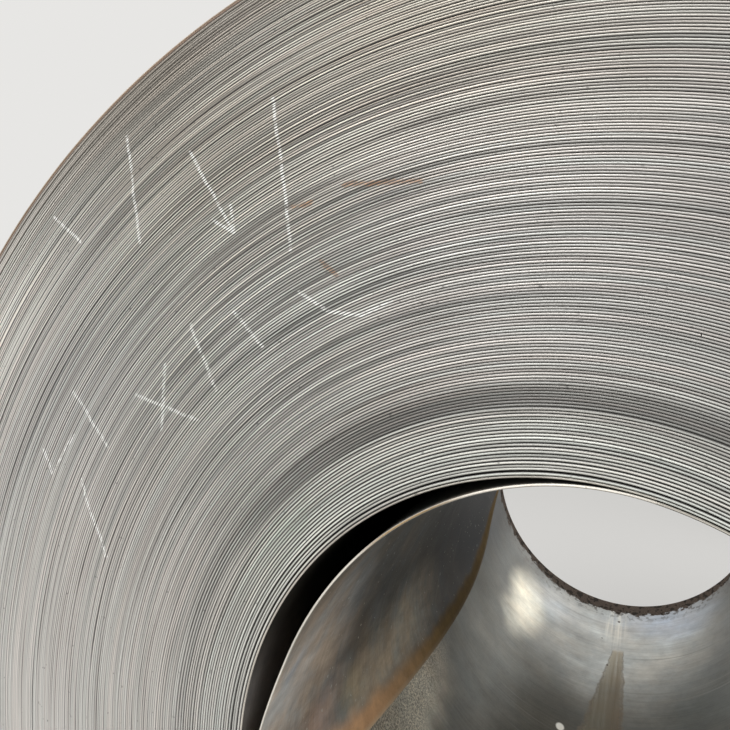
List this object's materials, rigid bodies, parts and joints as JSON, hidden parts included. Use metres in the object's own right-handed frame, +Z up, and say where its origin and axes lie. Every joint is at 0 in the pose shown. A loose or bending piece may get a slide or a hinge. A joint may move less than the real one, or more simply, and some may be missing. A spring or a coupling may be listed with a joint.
{
  "type": "hot-rolled steel strip coil",
  "caption": "Coil of hot-rolled steel strip lying on its round side, its laps showing as rings round an open eye, with the inner end of the strip sprung loose in the eye.",
  "frame": {"origin": "middle of the coil's box at its lowest point, where the round side rests", "axes": "+Z up, +Y along the coil's eye from the end that the picture shows to the hidden one, +X to the right as that end is seen"},
  "size_m": [2.04, 1.506, 2.04],
  "materials": {
    "hot_rolled_strip": "dull grey mill scale, brighter on the strip's edges, with a little rust"
  },
  "bodies": {
    "root": {"steel_coil": "hot_rolled_strip"}
  },
  "joints": []
}
